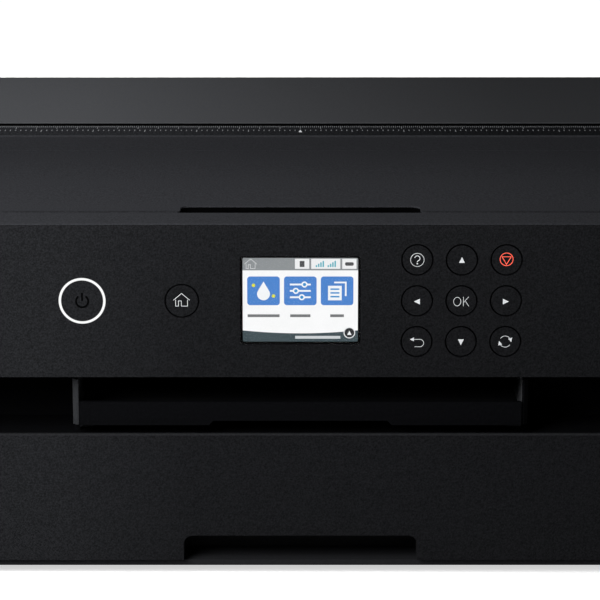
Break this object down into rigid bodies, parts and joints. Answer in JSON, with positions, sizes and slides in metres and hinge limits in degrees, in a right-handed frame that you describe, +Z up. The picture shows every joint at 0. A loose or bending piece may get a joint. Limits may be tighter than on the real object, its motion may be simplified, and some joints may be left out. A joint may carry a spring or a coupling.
{
  "type": "inkjet printer",
  "caption": "Wide low photo inkjet printer with tilting front panel, colour screen, round keys, output slot, cassette, lid and rear paper feed.",
  "frame": {"origin": "bottom centre of the printer, on the surface it stands on", "axes": "+X to the printer's right, front faces -Y, +Z up"},
  "size_m": [0.479, 0.37, 0.159],
  "materials": {
    "case_plastic": "satin, fine grain",
    "front_plastic": "matt, fine grain",
    "button_plastic": "matt",
    "black_plastic": "matt",
    "steel": "zinc coated sheet",
    "rubber": "matt",
    "gear_plastic": "natural acetal",
    "pane": "clear, glossy",
    "display": "gloss",
    "light_guide": "frosted",
    "cartridge_plastic": "gloss",
    "board": "solder mask"
  },
  "bodies": {
    "chassis": {"base_tray": "black_plastic", "rubber_feet": "rubber", "case_screws": "steel", "left_side_cover": "case_plastic", "right_side_cover": "case_plastic", "rear_panel": "case_plastic", "top_frame": "case_plastic", "ruler_strip": "front_plastic", "left_frame_plate": "steel", "right_frame_plate": "steel", "front_rail": "steel", "carriage_rail": "steel", "timing_belt": "rubber", "drive_motors": "steel", "platen": "black_plastic", "mid_deck": "black_plastic", "tray_rails": "black_plastic", "rear_hopper": "black_plastic", "power_supply": "steel", "ac_inlet": "black_plastic", "main_board": "board", "data_sockets": "steel"},
    "control_panel": {"panel_shell": "front_plastic", "panel_back": "black_plastic", "screen_module": "display", "screen_window": "pane", "power_ring": "light_guide"},
    "power_button": {"power_button": "button_plastic"},
    "home_button": {"home_button": "button_plastic"},
    "help_button": {"help_button": "button_plastic"},
    "up_button": {"up_button": "button_plastic"},
    "stop_button": {"stop_button": "button_plastic"},
    "left_button": {"left_button": "button_plastic"},
    "ok_button": {"ok_button": "button_plastic"},
    "right_button": {"right_button": "button_plastic"},
    "back_button": {"back_button": "button_plastic"},
    "down_button": {"down_button": "button_plastic"},
    "tray_button": {"tray_button": "button_plastic"},
    "printer_cover": {"printer_cover": "case_plastic"},
    "rear_feed_cover": {"rear_feed_cover": "case_plastic"},
    "support_extension": {"support_extension": "black_plastic"},
    "left_edge_guide": {"left_edge_guide": "black_plastic"},
    "right_edge_guide": {"right_edge_guide": "black_plastic"},
    "output_tray": {"output_tray": "black_plastic"},
    "output_tray_extension": {"output_tray_extension": "black_plastic"},
    "cassette": {"cassette_tray": "black_plastic", "cassette_front": "front_plastic"},
    "cassette_left_guide": {"cassette_left_guide": "black_plastic"},
    "cassette_right_guide": {"cassette_right_guide": "black_plastic"},
    "carriage": {"carriage": "black_plastic", "ink_cartridges": "cartridge_plastic"},
    "motor_pulley": {"motor_pulley": "gear_plastic"},
    "idler_pulley": {"idler_pulley": "gear_plastic"},
    "feed_roller": {"feed_roller": "steel"},
    "eject_roller": {"eject_roller": "rubber"},
    "transfer_gear": {"transfer_gear": "gear_plastic"},
    "motor_pinion": {"motor_pinion": "gear_plastic"},
    "pickup_roller": {"pickup_roller": "rubber"},
    "capping_station": {"capping_station": "black_plastic"},
    "rear_access_cover": {"rear_access_cover": "case_plastic"}
  },
  "joints": [
    {"name": "panel_tilt", "type": "hinge", "parent": "chassis", "child": "control_panel", "pos_m": [0, -0.1629, 0.15238], "axis": [-1, 0, 0], "range_deg": [0, 55]},
    {"name": "power_press", "type": "slide", "parent": "control_panel", "child": "power_button", "axis": [0, 1, 0], "range_m": [0, 0.0006], "stiffness_N_per_m": 500, "springref_m": -0.001},
    {"name": "home_press", "type": "slide", "parent": "control_panel", "child": "home_button", "axis": [0, 1, 0], "range_m": [0, 0.0006], "stiffness_N_per_m": 500, "springref_m": -0.001},
    {"name": "help_press", "type": "slide", "parent": "control_panel", "child": "help_button", "axis": [0, 1, 0], "range_m": [0, 0.0006], "stiffness_N_per_m": 500, "springref_m": -0.001},
    {"name": "up_press", "type": "slide", "parent": "control_panel", "child": "up_button", "axis": [0, 1, 0], "range_m": [0, 0.0006], "stiffness_N_per_m": 500, "springref_m": -0.001},
    {"name": "stop_press", "type": "slide", "parent": "control_panel", "child": "stop_button", "axis": [0, 1, 0], "range_m": [0, 0.0006], "stiffness_N_per_m": 500, "springref_m": -0.001},
    {"name": "left_press", "type": "slide", "parent": "control_panel", "child": "left_button", "axis": [0, 1, 0], "range_m": [0, 0.0006], "stiffness_N_per_m": 500, "springref_m": -0.001},
    {"name": "ok_press", "type": "slide", "parent": "control_panel", "child": "ok_button", "axis": [0, 1, 0], "range_m": [0, 0.0006], "stiffness_N_per_m": 500, "springref_m": -0.001},
    {"name": "right_press", "type": "slide", "parent": "control_panel", "child": "right_button", "axis": [0, 1, 0], "range_m": [0, 0.0006], "stiffness_N_per_m": 500, "springref_m": -0.001},
    {"name": "back_press", "type": "slide", "parent": "control_panel", "child": "back_button", "axis": [0, 1, 0], "range_m": [0, 0.0006], "stiffness_N_per_m": 500, "springref_m": -0.001},
    {"name": "down_press", "type": "slide", "parent": "control_panel", "child": "down_button", "axis": [0, 1, 0], "range_m": [0, 0.0006], "stiffness_N_per_m": 500, "springref_m": -0.001},
    {"name": "tray_press", "type": "slide", "parent": "control_panel", "child": "tray_button", "axis": [0, 1, 0], "range_m": [0, 0.0006], "stiffness_N_per_m": 500, "springref_m": -0.001},
    {"name": "cover_hinge", "type": "hinge", "parent": "chassis", "child": "printer_cover", "pos_m": [0, 0.007, 0.15354], "axis": [-1, 0, 0], "range_deg": [0, 50]},
    {"name": "rear_cover_hinge", "type": "hinge", "parent": "chassis", "child": "rear_feed_cover", "pos_m": [0, 0.1804, 0.15434], "axis": [-1, 0, 0], "range_deg": [0, 110]},
    {"name": "support_slide", "type": "slide", "parent": "rear_feed_cover", "child": "support_extension", "axis": [0, -1, 0], "range_m": [0, 0.081]},
    {"name": "right_edge_slide", "type": "slide", "parent": "chassis", "child": "right_edge_guide", "axis": [-1, 0, 0], "range_m": [0, 0.11]},
    {"name": "left_edge_slide", "type": "slide", "parent": "chassis", "child": "left_edge_guide", "axis": [1, 0, 0], "range_m": [0, 0.11]},
    {"name": "output_tray_slide", "type": "slide", "parent": "chassis", "child": "output_tray", "axis": [0, -1, 0], "range_m": [0, 0.14]},
    {"name": "tray_extension_slide", "type": "slide", "parent": "output_tray", "child": "output_tray_extension", "axis": [0, -1, 0], "range_m": [0, 0.13]},
    {"name": "cassette_slide", "type": "slide", "parent": "chassis", "child": "cassette", "axis": [0, -1, 0], "range_m": [0, 0.23]},
    {"name": "cassette_right_slide", "type": "slide", "parent": "cassette", "child": "cassette_right_guide", "axis": [-1, 0, 0], "range_m": [0, 0.06]},
    {"name": "cassette_left_slide", "type": "slide", "parent": "cassette", "child": "cassette_left_guide", "axis": [1, 0, 0], "range_m": [0, 0.06]},
    {"name": "carriage_slide", "type": "slide", "parent": "chassis", "child": "carriage", "axis": [1, 0, 0], "range_m": [-0.354, 0]},
    {"name": "motor_pulley_spin", "type": "hinge", "parent": "chassis", "child": "motor_pulley", "pos_m": [-0.205, -0.046, 0.118], "axis": [0, 1, 0], "range_deg": [-10, 3000]},
    {"name": "idler_pulley_spin", "type": "hinge", "parent": "chassis", "child": "idler_pulley", "pos_m": [0.205, -0.046, 0.118], "axis": [0, 1, 0], "range_deg": [-10, 3000]},
    {"name": "feed_roller_spin", "type": "hinge", "parent": "chassis", "child": "feed_roller", "pos_m": [0, -0.045, 0.084], "axis": [1, 0, 0], "continuous": true},
    {"name": "eject_roller_spin", "type": "hinge", "parent": "chassis", "child": "eject_roller", "pos_m": [0, -0.135, 0.084], "axis": [1, 0, 0], "continuous": true},
    {"name": "transfer_gear_spin", "type": "hinge", "parent": "chassis", "child": "transfer_gear", "pos_m": [-0.231, -0.09125, 0.084], "axis": [1, 0, 0], "continuous": true},
    {"name": "motor_pinion_spin", "type": "hinge", "parent": "chassis", "child": "motor_pinion", "pos_m": [-0.231, -0.0075, 0.084], "axis": [1, 0, 0], "continuous": true},
    {"name": "pickup_roller_spin", "type": "hinge", "parent": "chassis", "child": "pickup_roller", "pos_m": [0, 0.045, 0.037], "axis": [1, 0, 0], "continuous": true},
    {"name": "cap_lift", "type": "slide", "parent": "chassis", "child": "capping_station", "axis": [0, 0, 1], "range_m": [-0.005, 0], "stiffness_N_per_m": 400, "springref_m": 0.004},
    {"name": "access_cover_pull", "type": "slide", "parent": "chassis", "child": "rear_access_cover", "axis": [0, 1, 0], "range_m": [0, 0.05]}
  ],
  "couplings": [
    {"joint": "support_slide", "follows": "rear_cover_hinge", "m_per_rad": 0.04167},
    {"joint": "left_edge_slide", "follows": "right_edge_slide", "ratio": 1},
    {"joint": "cassette_left_slide", "follows": "cassette_right_slide", "ratio": 1},
    {"joint": "motor_pulley_spin", "follows": "carriage_slide", "rad_per_m": -144.93},
    {"joint": "idler_pulley_spin", "follows": "carriage_slide", "rad_per_m": -144.93},
    {"joint": "transfer_gear_spin", "follows": "feed_roller_spin", "ratio": -1.8462},
    {"joint": "eject_roller_spin", "follows": "feed_roller_spin", "ratio": 1.0909},
    {"joint": "motor_pinion_spin", "follows": "feed_roller_spin", "ratio": -4}
  ]
}
